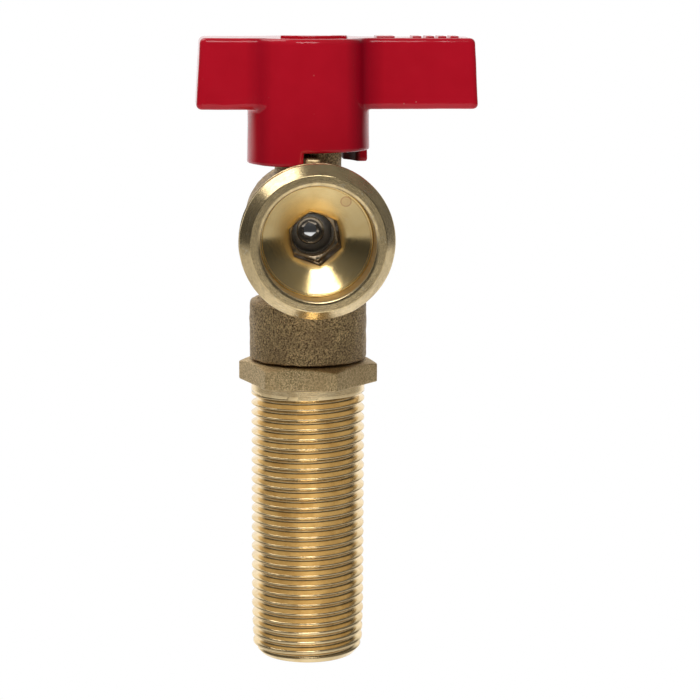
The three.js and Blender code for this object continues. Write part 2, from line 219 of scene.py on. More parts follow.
def rounded_box(p, low, high, edge):
    centre = (np.array(low) + np.array(high)) / 2
    half = (np.array(high) - np.array(low)) / 2 - edge
    q = [np.abs(p[i] - centre[i]) - half[i] for i in range(3)]
    outside = np.sqrt(sum(np.maximum(v, 0) ** 2 for v in q))
    return outside + np.minimum(np.maximum(np.maximum(q[0], q[1]), q[2]), 0) - edge


def turn_by(degrees, x, y):
    """x and y as seen along and across a direction."""
    cosine, sine = math.cos(math.radians(degrees)), math.sin(math.radians(degrees))
    return x * cosine + y * sine, y * cosine - x * sine


def ripples(wavelengths, count=10):
    """A smooth random field of about unit size, made of sine waves in random directions."""
    waves = []
    for length in wavelengths:
        directions = RNG.normal(size=(count, 3))
        directions /= np.linalg.norm(directions, axis=1)[:, None]
        waves += [(d * 2 * math.pi / length, RNG.uniform(0, 2 * math.pi)) for d in directions]
    scale = math.sqrt(2 / len(waves))

    def value(p):
        return scale * sum(np.sin(k[0] * p[0] + k[1] * p[1] + k[2] * p[2] + phase) for k, phase in waves)
    return value


SLOPE_STEP = 0.02                                    # distance over which a field's slope is measured
SLOPE_FLOOR = 0.05                                   # keeps a point on a flat part of a field from flying off


def shaped(field, low, high, cell):
    """Quads on a field's zero surface: one point for each cell that it crosses, moved onto it."""
    axes = [np.arange(low[i], high[i] + cell, cell) for i in range(3)]
    values = field(np.meshgrid(*axes, indexing="ij"))
    inside = values < 0
    cells = tuple(len(a) - 1 for a in axes)
    total, hits = np.zeros(cells + (3,)), np.zeros(cells)
    crossings = []
    for axis in range(3):
        near = tuple(slice(None, -1) if i == axis else slice(None) for i in range(3))
        far = tuple(slice(1, None) if i == axis else slice(None) for i in range(3))
        crossing = np.argwhere(inside[near] != inside[far])
        start = values[near][tuple(crossing.T)]
        end = values[far][tuple(crossing.T)]
        place = crossing.astype(float)
        place[:, axis] += start / (start - end)
        side, up = (axis + 1) % 3, (axis + 2) % 3
        corners = []
        for s, u in ((-1, -1), (0, -1), (0, 0), (-1, 0)):
            index = crossing.copy()
            index[:, side] += s
            index[:, up] += u
            np.add.at(total, tuple(index.T), place)
            np.add.at(hits, tuple(index.T), 1)
            corners.append(np.ravel_multi_index(tuple(index.T), cells))
        quads = np.stack(corners, axis=1)
        outward = start < 0
        quads[~outward] = quads[~outward][:, ::-1]
        crossings.append(quads)
    used = np.flatnonzero(hits.ravel())
    points = total.reshape(-1, 3)[used] / hits.ravel()[used][:, None] * cell + np.array(low)
    number = np.full(hits.size, -1)
    number[used] = np.arange(len(used))
    for _ in range(4):
        slope = np.stack([(field((points + SLOPE_STEP * e).T) - field((points - SLOPE_STEP * e).T))
                          / (2 * SLOPE_STEP) for e in np.eye(3)], axis=1)
        steepness = np.maximum((slope ** 2).sum(axis=1), SLOPE_FLOOR)
        move = field(points.T)[:, None] * slope / steepness[:, None]
        length = np.linalg.norm(move, axis=1)[:, None]
        points = points - move * np.minimum(1, 0.5 * cell / np.maximum(length, 1e-9))
    return points, number[np.concatenate(crossings)]


# ---- node trees --------------------------------------------------------------------------------
class Tree:
    """A node tree with short calls for the nodes that the finishes and the studio share."""

    def __init__(self, tree):
        self.tree = tree

    def add(self, kind, **settings):
        node = self.tree.nodes.new(kind)
        for key, value in settings.items():
            setattr(node, key, value)
        return node

    def link(self, source, target):
        self.tree.links.new(source, target)

    def math(self, operation, *values):
        node = self.add("ShaderNodeMath", operation=operation)
        for socket, value in zip(node.inputs, values):
            if isinstance(value, (int, float)):
                socket.default_value = value
            else:
                self.link(value, socket)
        return node.outputs[0]

    def scaled(self, value, factor):
        return self.math("MULTIPLY", value, factor)

    def both(self, first, second):
        return self.math("ADD", first, second)

    def hypotenuse(self, u, v):
        return self.math("SQRT", self.both(self.scaled(u, u), self.scaled(v, v)))

    def ramp(self, value, start, end, low=0.0, high=1.0, shape="LINEAR"):
        """low up to start and high from end on, with a slope between them."""
        node = self.add("ShaderNodeMapRange", interpolation_type=shape)
        for socket, number in zip(node.inputs[1:5], (start, end, low, high)):
            socket.default_value = number
        self.link(value, node.inputs[0])
        return node.outputs[0]

    def between(self, first, second, share):
        """first where share is 0, second where it is 1."""
        return self.both(self.scaled(first, self.math("SUBTRACT", 1.0, share)), self.scaled(second, share))


# ---- materials ---------------------------------------------------------------------------------
class Finish(Tree):
    """A material's nodes, in millimetres where a distance is given."""

    def __init__(self, name):
        self.material = bpy.data.materials.new(name)
        self.material.use_nodes = True
        super().__init__(self.material.node_tree)
        self.shader = self.tree.nodes["Principled BSDF"]
        self.place = self.add("ShaderNodeTexCoord").outputs["Object"]

    def noise(self, size, detail=3.0, roughness=0.55, vector=None, distortion=0.0):
        """Noise whose features are about size across."""
        node = self.add("ShaderNodeTexNoise")
        node.inputs["Scale"].default_value = 1 / (size * MM) if vector is None else 1 / size
        node.inputs["Detail"].default_value = detail
        node.inputs["Roughness"].default_value = roughness
        node.inputs["Distortion"].default_value = distortion
        self.link(self.place if vector is None else vector, node.inputs["Vector"])
        return node.outputs["Fac"]

    def cells(self, size, feature):
        """Distance in a pattern of random cells about size across, as a share of that size."""
        node = self.add("ShaderNodeTexVoronoi", feature=feature)
        node.inputs["Scale"].default_value = 1 / (size * MM)
        node.inputs["Randomness"].default_value = 1.0
        self.link(self.place, node.inputs["Vector"])
        return node.outputs["Distance"]

    def blend(self, first, second, share):
        """Weighted mean of two noises."""
        return self.both(self.scaled(first, share), self.scaled(second, 1 - share))

    def colours(self, value, stops):
        node = self.add("ShaderNodeValToRGB")
        while len(node.color_ramp.elements) < len(stops):
            node.color_ramp.elements.new(0.5)
        for element, (place, colour) in zip(node.color_ramp.elements, stops):
            element.position, element.color = place, (*colour, 1)
        self.link(value, node.inputs[0])
        return node.outputs[0]

    def mix(self, share, first, second):
        """Colour that goes from first to second as share goes from 0 to 1."""
        node = self.add("ShaderNodeMix", data_type="RGBA")
        self.link(share, node.inputs[0])
        for socket, colour in ((node.inputs[6], first), (node.inputs[7], second)):
            if isinstance(colour, tuple):
                socket.default_value = (*colour, 1)
            else:
                self.link(colour, socket)
        return node.outputs[2]

    def bump(self, height, distance, strength, before=None):
        """Bump of a height from 0 to 1 that stands for a distance."""
        node = self.add("ShaderNodeBump")
        node.inputs["Strength"].default_value = strength
        node.inputs["Distance"].default_value = distance * MM
        self.link(height, node.inputs["Height"])
        if before is not None:
            self.link(before, node.inputs["Normal"])
        return node.outputs[0]

    def coordinates(self):
        split = self.add("ShaderNodeSeparateXYZ")
        self.link(self.place, split.inputs[0])
        return [self.scaled(output, 1 / MM) for output in split.outputs]

    def round_axis(self, axis):
        """Distance along and away from a turning axis, and the angle round it."""
        x, y, z = self.coordinates()
        along, side = (y, self.math("SUBTRACT", z, AXIS)) if axis == "Y" else (z, y)
        return along, self.hypotenuse(x, side), self.math("ARCTAN2", side, x)

    def away_from(self, u, v, place):
        """Distance between a point of a plane and the place."""
        return self.hypotenuse(self.math("SUBTRACT", u, place[0]), self.math("SUBTRACT", v, place[1]))

    def finish(self, colour, roughness, metallic, normal):
        for value, name in ((colour, "Base Color"), (roughness, "Roughness"), (normal, "Normal")):
            self.link(value, self.shader.inputs[name])
        self.shader.inputs["Metallic"].default_value = metallic
        return self.material


CAST_METAL = 0.7                                     # the oxide skin hides some of the metal
CAST_RELIEF = 0.2
MACHINED_ROUGHNESS = 0.36
MACHINED_RELIEF_SHARE = 0.12                         # of the casting's own relief


def cast_brass(name, dark, light, warm, machined=False):
    """Sand-cast brass: dark skin between bright grains, with a fine pebbled surface."""
    n = Finish(name)
    grain = n.noise(0.3, detail=4, roughness=0.65)
    fine = n.noise(0.13, detail=2, roughness=0.5)
    speckle = n.blend(grain, fine, 0.55)
    patches = n.noise(6.0, detail=2)
    middle = tuple((d + c) / 2 for d, c in zip(dark, light))
    skin = n.colours(speckle, [(0.44, dark), (0.50, middle), (0.56, light)])
    colour = n.mix(n.ramp(patches, 0.35, 0.7, 0.0, 0.6), skin, n.mix(speckle, dark, warm))
    roughness = n.ramp(speckle, 0.35, 0.65, 0.62, 0.38)
    relief = speckle
    if machined:
        along, _, _ = n.round_axis("Y")
        is_machined = n.math("LESS_THAN", along, MACHINED_BEFORE)
        is_cast = n.math("SUBTRACT", 1.0, is_machined)
        bright = n.mix(n.ramp(grain, 0.36, 0.5), (0.58, 0.41, 0.19), (0.97, 0.75, 0.41))
        colour = n.mix(is_machined, colour, bright)
        roughness = n.both(n.scaled(roughness, is_cast), n.scaled(is_machined, MACHINED_ROUGHNESS))
        share = n.both(n.scaled(is_cast, 1 - MACHINED_RELIEF_SHARE), MACHINED_RELIEF_SHARE)
        relief = n.scaled(speckle, share)
    return n.finish(colour, roughness, CAST_METAL, n.bump(relief, CAST_RELIEF, 1.0))


def counterbore_wall(n, radius, colour, rough):
    """Cleaner, duller brass on the wall inside the outlet."""
    wall = n.ramp(radius, COUNTERBORE_R + 0.2, COUNTERBORE_R + 0.08)
    return n.mix(wall, colour, (1.0, 0.84, 0.56)), n.both(rough, n.scaled(wall, 0.22))


def socket_shade_and_stain(n, along, radius, colour, rough):
    """Painted shade: darker brass down the key's socket; and the ring that a dried drop left on the cone."""
    # Painted shade: the socket's walls are painted dark brass below its mouth, and made a little rougher.
    socket_shade = n.scaled(n.ramp(along, SOCKET_MOUTH, SOCKET_MOUTH + 0.25), n.ramp(radius, 4.95, 4.85))
    colour = n.mix(socket_shade, colour, (0.42, 0.33, 0.22))
    x, _, z = n.coordinates()
    drop = n.away_from(x, z, STAIN)
    rim = n.scaled(n.ramp(drop, 0.72, 0.86), n.ramp(drop, 1.0, 0.9))
    stain = n.both(n.scaled(rim, 0.6), n.ramp(drop, 0.8, 0.95, 0.26, 0.0))
    return n.mix(stain, colour, (0.55, 0.27, 0.12)), n.both(rough, n.scaled(socket_shade, 0.06))


def turned_brass(name, axis, base, tarnish, tarnish_share, roughness, marks=0.012, scratches=0.3, place=""):
    """Machined brass: tool marks round the axis, tarnish and scratches, and what is inside the outlet, with
    painted shade down the key's socket.
    """
    n = Finish(name)
    along, radius, angle = n.round_axis(axis)
    lines = n.add("ShaderNodeCombineXYZ")
    for value, target in zip((along, radius, n.scaled(angle, 0.5)), lines.inputs):
        n.link(value, target)
    tool = n.noise(0.09, detail=3, roughness=0.7, vector=lines.outputs[0])
    patches = n.noise(3.2, detail=3, distortion=0.6)
    spots = n.noise(0.5, detail=3, roughness=0.65)
    amount = n.ramp(n.blend(patches, spots, 0.7), 0.42, 0.66, 0.0, tarnish_share)
    nicks = n.ramp(n.cells(2.2, "DISTANCE_TO_EDGE"), 0.0, 0.03, 1.0, 0.0)
    scratch = n.scaled(nicks, n.ramp(n.noise(1.8), 0.55, 0.65, 0.0, scratches))
    colour = n.mix(scratch, n.mix(amount, base, tarnish), (0.9, 0.8, 0.58))
    rough = n.both(n.ramp(tool, 0.3, 0.7, roughness - 0.05, roughness + 0.07), n.scaled(amount, 0.12))
    if place == "counterbore":
        colour, rough = counterbore_wall(n, radius, colour, rough)
    if place == "cone":
        colour, rough = socket_shade_and_stain(n, along, radius, colour, rough)
    normal = n.bump(spots, 0.02, 0.35, before=n.bump(tool, marks, 0.8))
    return n.finish(colour, rough, 1.0, normal)


# Painted shade in the inner corners between the hub and the arms, stronger beside the long arm: x, distance
# from the X axis, reach and depth of the painted shade.
SHADED_CORNERS = [(9.0, 5.8, 4.4, 0.85), (-8.9, 6.6, 2.6, 0.35)]


def red_coat():
    """Thick glossy coating: slightly uneven, with painted shade in the inner corners, painted shade making
    the skirt's hollow nearly black and dull, and trapped specks.
    """
    n = Finish("red_coat")
    cloud = n.noise(7.0, detail=2)
    peel = n.noise(1.6, detail=2, roughness=0.4)
    speck = n.scaled(n.ramp(n.cells(2.6, "F1"), 0.02, 0.07, 1.0, 0.0), n.ramp(n.noise(5.0), 0.52, 0.6))
    colour = n.mix(n.ramp(cloud, 0.3, 0.7), (0.7, 0.008, 0.026), (0.76, 0.01, 0.031))
    colour = n.mix(n.scaled(speck, 0.6), colour, (0.85, 0.3, 0.26))
    x, y, z = n.coordinates()
    # Painted shade: the red goes darker towards each inner corner between the hub and an arm.
    for corner_x, corner_y, reach, depth in SHADED_CORNERS:
        away = n.away_from(x, n.math("ABSOLUTE", y), (corner_x, corner_y))
        colour = n.mix(n.ramp(away, 0.4, reach, depth, 0.0), colour, (0.3, 0.0, 0.012))
    # Painted shade: inside the skirt's hollow the red is painted nearly black, and the roughness there is
    # raised.
    hollow = n.ramp(n.hypotenuse(x, y), SKIRT_HOLLOW_R + 0.3, SKIRT_HOLLOW_R + 1.0, 1.0, 0.0)
    inside = n.scaled(hollow, n.math("LESS_THAN", z, WING_BOTTOM + 1.2))
    colour = n.mix(inside, colour, (0.1, 0.0, 0.004))
    rough = n.math("MAXIMUM", n.ramp(peel, 0.3, 0.7, 0.09, 0.14), n.scaled(inside, 0.6))
    n.shader.inputs["Specular IOR Level"].default_value = 0.4
    return n.finish(colour, rough, 0.0, n.bump(speck, 0.03, 0.6, before=n.bump(peel, 0.008, 0.3)))


def plain_finish(name, low, high, size, roughness, metallic, relief):
    """A finish whose colour, roughness and relief vary with one noise."""
    n = Finish(name)
    grain = n.noise(size, detail=4, roughness=0.6)
    cloud = n.noise(size * 9, detail=2)
    colour = n.mix(n.ramp(n.blend(grain, cloud, 0.5), 0.35, 0.65), low, high)
    rough = n.ramp(grain, 0.3, 0.7, roughness * 0.8, roughness * 1.25)
    return n.finish(colour, rough, metallic, n.bump(grain, relief, 0.5))


BODY_CAST = cast_brass("cast_body_brass", (0.07, 0.043, 0.02), (0.92, 0.66, 0.32), (0.56, 0.37, 0.19),
                       machined=True)
HEX_CAST = cast_brass("cast_hex_brass", (0.4, 0.27, 0.12), (1.0, 0.78, 0.42), (0.9, 0.63, 0.31))
SHANK_BRASS = turned_brass("shank_brass", "Z", (0.95, 0.74, 0.42), (0.7, 0.47, 0.2), 0.45, 0.14)
OUTLET_BRASS = turned_brass("outlet_brass", "Y", (0.92, 0.71, 0.38), (0.5, 0.38, 0.2), 0.7, 0.18,
                            scratches=1.0, place="counterbore")
CONE_BRASS = turned_brass("cone_brass", "Y", (0.86, 0.65, 0.31), (0.73, 0.51, 0.2), 0.5, 0.13,
                          marks=0.004, place="cone")
STEM_BRASS = turned_brass("stem_brass", "Z", (0.74, 0.54, 0.26), (0.5, 0.3, 0.11), 0.35, 0.25)
CHROME = plain_finish("ball_chrome", (0.78, 0.78, 0.78), (0.86, 0.86, 0.85), 0.5, 0.05, 1.0, 0.002)
STEEL = plain_finish("screw_steel", (0.5, 0.5, 0.48), (0.66, 0.65, 0.61), 0.3, 0.3, 1.0, 0.008)
PTFE = plain_finish("seat_ptfe", (0.8, 0.79, 0.75), (0.88, 0.87, 0.84), 0.4, 0.45, 0.0, 0.01)
RUBBER = plain_finish("seal_rubber", (0.012, 0.012, 0.012), (0.03, 0.03, 0.03), 0.25, 0.6, 0.0, 0.012)
RED = red_coat()


# ---- valve body --------------------------------------------------------------------------------
BOSS_R, BOSS_TOP = 10.65, 15.3
WAIST_R = 8.9
CHAMBER_R, CHAMBER_BACK = 11.2, 11.4
SHOULDER_R, SHOULDER_BACK = 12.0, -11.6
NECK_R = 6.0
LUG_LOW, LUG_HIGH = (-1.25, -12.5, 35), (1.3, -3, 41.6)
SAND_DEPTH = 0.03


def body_bores(x, y, z):
    """The tools that hollow the casting: chamber, counterbore, inlet, spigot's hole and stem's two bores."""
    up = z - AXIS
    return (pillar(x, up, y, 8.7, -30, 9.0, 0.4), pillar(x, up, y, COUNTERBORE_R, -30, -8.7, 0.1),
            pillar(x, y, z, 5.6, 0, AXIS, 0.1), pillar(x, y, z, 8.3, 0, 12.8, 0.2),
            pillar(x, y, z, 4.9, 30, 39.3, 0.2), pillar(x, y, z, 3.9, 30, 60, 0.1))


def body_casting():
    """The cast part of the body: boss, ball chamber, shoulder, neck and stop lug, bored through."""
    sand = ripples([1.1, 1.9, 3.4])

    def field(p):
        x, y, z = p
        up = z - AXIS
        boss = round_both(disc(x, y, BOSS_R), z - BOSS_TOP, 1.2)
        boss = round_both(boss, BODY_LOW[2] - z, 0.35)
        shape = blend_min(boss, pillar(x, y, z, WAIST_R, 9, 24, 0.5), 0.7)
        shape = blend_min(shape, pillar(x, up, y, CHAMBER_R, -14.0, CHAMBER_BACK, 2.6), 3.0)
        shape = blend_min(shape, pillar(x, up, y, SHOULDER_R, THREAD_BACK, SHOULDER_BACK, 0.4), 0.8)
        shape = blend_min(shape, pillar(x, y, z, NECK_R, 30, NECK_TOP, 0.6), 0.8)
        shape = blend_min(shape, rounded_box(p, LUG_LOW, LUG_HIGH, 0.3), 0.5)
        shape = shape + SAND_DEPTH * sand(p)
        for tool in body_bores(x, y, z):
            shape = cut(shape, tool, 0.25)
        return shape
    points, faces = shaped(field, (-13.2, -18.7, 3.8), (13.2, 12.4, 51), 0.32)
    mesh_piece("body_casting", points, faces, "valve", ["valve_body"], BODY_CAST)


RING_OUTER = 11.73                                   # the flat ring at the outlet's end
LEAD_LENGTH = 2.8                                    # of the cone from that ring up to the thread's crest
PLAIN_LAND = 2.9
RUN_OUT_R = 12.05


def outlet_envelope(height):
    """Largest radius of the outlet's thread at a distance behind the end face."""
    crest = HOSE["crest"]
    lead = RING_OUTER + (height - FACE) * (crest - RING_OUTER) / LEAD_LENGTH
    run_out = RUN_OUT_R + np.maximum(THREAD_BACK - 0.3 - height, 0) * 1.2
    return np.minimum(np.minimum(lead, crest), run_out)


def outlet_thread():
    """Machined outlet: hose thread, chamfered end with its flat ring, and the counterbore."""
    wall = COUNTERBORE_R
    rest = [(11.5, THREAD_BACK), (wall + 0.02, THREAD_BACK), (wall, THREAD_BACK - 0.4), (wall, FACE + 0.4),
            (wall, FACE + 0.32), (wall + 0.05, FACE + 0.22), (wall + 0.2, FACE + 0.05), (wall + 0.32, FACE),
            (10.6, FACE), (11.2, FACE), (11.6, FACE)]
    points, faces = threaded(HOSE, FACE, THREAD_BACK, outlet_envelope, rest, 180, 90, land=PLAIN_LAND)
    mesh_piece("outlet_thread", along_outlet(points), faces, "valve",
               ["valve_body"], OUTLET_BRASS)


# ---- shank -------------------------------------------------------------------------------------
SHANK_RING_R = 8.9                                   # outer radius of the flat end
CHAMFER_LENGTH, CHAMFER_RISE = 1.5, 1.26
TAPER_LENGTH, TAPER_RISE = 7.5, 0.24
TUBE_SOCKET_R, TUBE_SOCKET_DEPTH = 7.95, 13.0
COLLAR_TOP = -0.02                                   # just under the hex
COLLAR_LENGTH = 1.73


def shank_envelope(height):
    """Largest radius of the shank's thread at a height: a chamfered, slightly tapered lead."""
    rise = height - SHANK_END
    lead = SHANK_RING_R + np.minimum(rise, CHAMFER_LENGTH) * (CHAMFER_RISE / CHAMFER_LENGTH)
    lead = lead + np.clip(rise - CHAMFER_LENGTH, 0, TAPER_LENGTH) * (TAPER_RISE / TAPER_LENGTH)
    return np.minimum(lead, PIPE["crest"])


def shank_thread():
    """Pipe thread from the chamfered end up to the plain collar, and the bore inside it."""
    crest, tube = PIPE["crest"], TUBE_SOCKET_R
    floor = SHANK_END + TUBE_SOCKET_DEPTH
    rest = [(crest, -1.2), (crest, -0.17), (crest, -0.1), (crest - 0.03, -0.04), (crest - 0.1, COLLAR_TOP),
            (6.7, COLLAR_TOP), (6.6, COLLAR_TOP), (SHANK_BORE_R, -0.3), (SHANK_BORE_R, floor + 0.2),
            (6.6, floor), (tube - 0.25, floor), (tube, floor - 0.2), (tube, SHANK_END + 0.4),
            (tube + 0.25, SHANK_END + 0.06), (tube + 0.4, SHANK_END), (SHANK_RING_R - 0.2, SHANK_END)]
    thread_top = COLLAR_TOP - COLLAR_LENGTH
    points, faces = threaded(PIPE, SHANK_END, thread_top, shank_envelope, rest, 160, -90, 0.035)
    mesh_piece("shank_thread", points, faces, "valve", ["inlet_shank"], SHANK_BRASS)


def hex_radius(angles, flats, corner, round_to):
    """Distance from the axis to a hexagon's side at each angle, with its corners rounded off."""
    turn = (angles - math.radians(corner) + math.pi / 6) % (math.pi / 3) - math.pi / 6
    side = flats / 2 / np.cos(math.pi / 6 - np.abs(turn))
    return blend_min(side, np.full_like(side, round_to), 0.12)


HEX_FLATS, HEX_ROUND_TO = 22.2, 12.74
CONE_START, CONE_FALL = 10.7, 0.31                   # the hex's top falls away outside this radius
SPIGOT_R, SPIGOT_NECK_R = 8.0, 7.45


def hex_flange():
    """Cast hex with a coned top edge, and the spigot that screws up into the boss."""
    angles = even_angles(360, HEX_CORNER)
    rim = hex_radius(angles, HEX_FLATS, HEX_CORNER, HEX_ROUND_TO)
    top = HEX_TOP - np.clip(rim - CONE_START, 0, None) * CONE_FALL
    edge = 0.22
    bevel = 0.3 * edge
    rows = [(SHANK_BORE_R, 0.3), (6.6, 0.0), (9.5, 0.0), (rim - edge, 0.0), (rim - bevel, bevel), (rim, edge),
            (rim, edge + 0.08), (rim, 0.5 * top), (rim, top - edge - 0.08), (rim, top - edge),
            (rim - bevel, top - 0.25 * edge), (rim - edge, top + 0.02),
            (np.minimum(rim - 0.5, 10.9), HEX_TOP - 0.04), (np.minimum(rim - 0.6, 10.5), HEX_TOP),
            (9.0, HEX_TOP), (SPIGOT_NECK_R + 0.15, HEX_TOP), (SPIGOT_NECK_R, HEX_TOP + 0.15),
            (SPIGOT_NECK_R, HEX_TOP + 0.9), (SPIGOT_R, HEX_TOP + 1.3), (SPIGOT_R, SPIGOT_TOP - 0.5),
            (SPIGOT_R - 0.5, SPIGOT_TOP), (6.6, SPIGOT_TOP), (SHANK_BORE_R, SPIGOT_TOP - 0.25)]
    points, faces = turned(rows, angles)
    mesh_piece("hex_flange", points, faces, "valve", ["inlet_shank"], HEX_CAST)


# ---- seat retainer -----------------------------------------------------------------------------
RETAINER_R, RETAINER_BORE_R = 9.6, 3.7
RETAINER_RIM_R = 9.84                                # closes the gap that the CAD leaves to the counterbore
RETAINER_BACK = -9.0
RETAINER_GROOVE = (-12.2, -10.5, 8.4)                # front, back and floor radius of the o-ring's groove
SOCKET_FLATS, SOCKET_ROUND_TO, SOCKET_CORNER = 8.31, 4.77, 19.7
SOCKET_FLOOR = -12.0
CONE_R, CONE_SLOPE = 9.3, 0.63


def seat_retainer():
    """Insert whose polished cone runs down to a hex socket and a round bore."""
    angles = even_angles(360, SOCKET_CORNER)
    socket = hex_radius(angles, SOCKET_FLATS, SOCKET_CORNER, SOCKET_ROUND_TO)
    mouth, back, floor = RETAINER_LOW[1], RETAINER_BACK, SOCKET_FLOOR
    outer, rim, bore = RETAINER_R, RETAINER_RIM_R, RETAINER_BORE_R
    groove_front, groove_back, groove_r = RETAINER_GROOVE

    def on_cone(radius):
        return mouth + 0.18 + (CONE_R - radius) * CONE_SLOPE
    rows = [(bore, back), (outer - 0.2, back), (outer, back - 0.2), (outer, groove_back),
            (groove_r, groove_back), (groove_r, groove_front), (outer, groove_front), (outer, mouth + 2.2),
            (rim, mouth + 2.0), (rim, mouth + 0.12), (rim - 0.12, mouth), (9.46, mouth),
            (9.4, mouth + 0.105), (9.34, mouth + 0.15)]
    rows += [(r, on_cone(r)) for r in np.linspace(CONE_R, 5.6, 16)]
    rows += [(socket + 0.14, on_cone(socket + 0.14)), (socket + 0.03, on_cone(socket) + 0.03),
             (socket, on_cone(socket) + 0.14), (socket, -15.0), (socket, floor - 0.1),
             (np.minimum(socket - 0.1, 4.5), floor), (bore + 0.2, floor), (bore, floor + 0.2),
             (bore, back - 0.2)]
    backwards = [(np.flip(np.broadcast_to(r, angles.shape)), np.flip(np.broadcast_to(z, angles.shape)))
                 for r, z in rows]
    points, faces = turned(backwards, angles[::-1])
    mesh_piece("retainer_cone", along_outlet(points), faces, "valve",
               ["seat_retainer"], CONE_BRASS)


# ---- ball, seats and seals ---------------------------------------------------------------------
BALL_R, BALL_BORE_R = 7.5, 3.5
SLOT_HALF, SLOT_FLOOR = 1.6, 5.0
SEAT_CUP_R = 7.8
RING_R = 0.43                                        # of an o-ring's cross-section


def ball_piece():
    """Chromed angle ball: bored from below and out through the side, with the stem's slot on top."""
    def field(p):
        x, y, up = p[0], p[1], p[2] - AXIS
        from_centre = np.sqrt(x * x + y * y + up * up)
        inlet = np.maximum(disc(x, y, BALL_BORE_R), up)
        side = np.maximum(disc(y, up, BALL_BORE_R), -x)
        bore = blend_min(inlet, side, 0.4)
        shape = cut(from_centre - BALL_R, np.minimum(bore, from_centre - BALL_BORE_R), 0.5)
        return cut(shape, np.maximum(np.abs(x) - SLOT_HALF, SLOT_FLOOR - up), 0.3)
    points, faces = shaped(field, (-8, -8, AXIS - 8), (8, 8, AXIS + 8), 0.26)
    mesh_piece("chromed_ball", points, faces, "handle_and_stem", ["ball"], CHROME)


def seat_ring(name, node, side):
    """PTFE seat behind the ball, or in front of it where side is -1."""
    def on_ball(radius):
        return math.sqrt(SEAT_CUP_R ** 2 - radius * radius)
    cup = [(r, on_ball(r)) for r in np.linspace(7.0, 3.9, 8)]
    profile = [(3.7, on_ball(3.9) + 0.25), (3.7, 8.5), (3.9, 8.7), (8.2, 8.7), (8.4, 8.5),
               (8.4, on_ball(7.0) + 0.2), (8.2, on_ball(7.0)), *cup]
    points, faces = turned(profile[::-1], even_angles(96))
    points = along_outlet(points)
    if side < 0:
        points[:, 1] *= -1
        faces = [f[::-1] for f in faces]
    mesh_piece(name, points, faces, "valve", [node], PTFE)


def o_ring(name, node, body, major, centre, lies_along_outlet=False):
    section = np.radians(np.linspace(0, 345, 24))
    profile = [(major + RING_R * math.cos(a), RING_R * math.sin(a)) for a in section]
    points, faces = turned(profile, even_angles(80))
    points = along_outlet(points) + [0, centre, 0] if lies_along_outlet else points + [0, 0, centre]
    mesh_piece(name, points, faces, body, [node], RUBBER)


def thrust_ring():
    """Flat PTFE washer between the stem's flange and the body."""
    inner, outer, edge = 3.9, 4.6, 0.1
    low, high = THRUST_LOW[2], THRUST_HIGH[2]
    profile = [(inner + edge, low), (outer - edge, low), (outer, low + edge), (outer, high - edge),
               (outer - edge, high), (inner + edge, high), (inner, high - edge), (inner, low + edge)]
    points, faces = turned(profile, even_angles(96))
    mesh_piece("thrust_ring", points, faces, "handle_and_stem", ["thrust_washer"], PTFE)


FLANGE_R, FLANGE_LOW, FLANGE_HIGH = 4.4, 36.8, 37.9
SHAFT_R, SHAFT_TOP = 3.6, 50.1
DRIVE_R, DRIVE_HALF = 3.5, 2.7
TANG_R, TANG_HALF = 3.0, 1.3
GROOVE_R, GROOVE_HALF = 2.4, 0.9
TAPPED_R, TAPPED_FLOOR = 2.0, 50.5


def stem_piece():
    """Stem with its tang, flange, two ring grooves and double-D end, tapped for the screw."""
    def field(p):
        x, y, z = p
        shape = blend_min(pillar(x, y, z, FLANGE_R, FLANGE_LOW, FLANGE_HIGH, 0.15),
                          pillar(x, y, z, SHAFT_R, 37.0, SHAFT_TOP, 0.2), 0.2)
        shape = blend_min(shape, pillar(x, y, z, DRIVE_R, 48, STEM_HIGH[2], 0.3), 0.1)
        tang = np.maximum(pillar(x, y, z, TANG_R, STEM_LOW[2], 37.3, 0.2), np.abs(x) - TANG_HALF)
        shape = blend_min(shape, tang, 0.3)
        for height in GROOVE_HEIGHTS:
            ring = slab(z, height - GROOVE_HALF, height + GROOVE_HALF)
            shape = cut(shape, np.maximum(ring, GROOVE_R - np.hypot(x, y)), 0.15)
        shape = cut(shape, np.maximum(DRIVE_HALF - np.abs(x), SHAFT_TOP - z), 0.1)
        return cut(shape, np.maximum(disc(x, y, TAPPED_R), TAPPED_FLOOR - z), 0.15)
    points, faces = shaped(field, (-4.8, -4.8, 32.9), (4.8, 4.8, STEM_HIGH[2] + 0.4), 0.2)
    mesh_piece("stem_shaft", points, faces, "handle_and_stem", ["stem"], STEM_BRASS)


# ---- handle ------------------------------------------------------------------------------------
HUB_TAPER = 0.3
SHORT_END, LONG_END, END_DRAFT = 19.5, 29.6, 0.75
END_R, TOP_EDGE_R = 1.3, 0.95
SKIRT_STEP = 42.5                                    # underside of the skirt between its low stretches
LOW_LEFT = (-1.55, 3.0)                              # left of this x and in front of this y
LOW_RIGHT = (6.7, 1.6, 8.8)                          # right of this x and between these y
SCREW_WELL_R, SCREW_WELL_FLOOR = 4.7, 59.2
DRIVE_HOLE_R, DRIVE_HOLE_TOP, DRIVE_HOLE_HALF = 3.8, 57.5, 3.0
SCREW_HOLE_R = 2.1
ARM_RECESSES = [((-17.3, -4.1, 40), (-11.5, 4.1, 58.5)), ((11.5, -2.3, 40), (27.4, 2.3, 58.5))]
COAT_DEPTH = 0.012


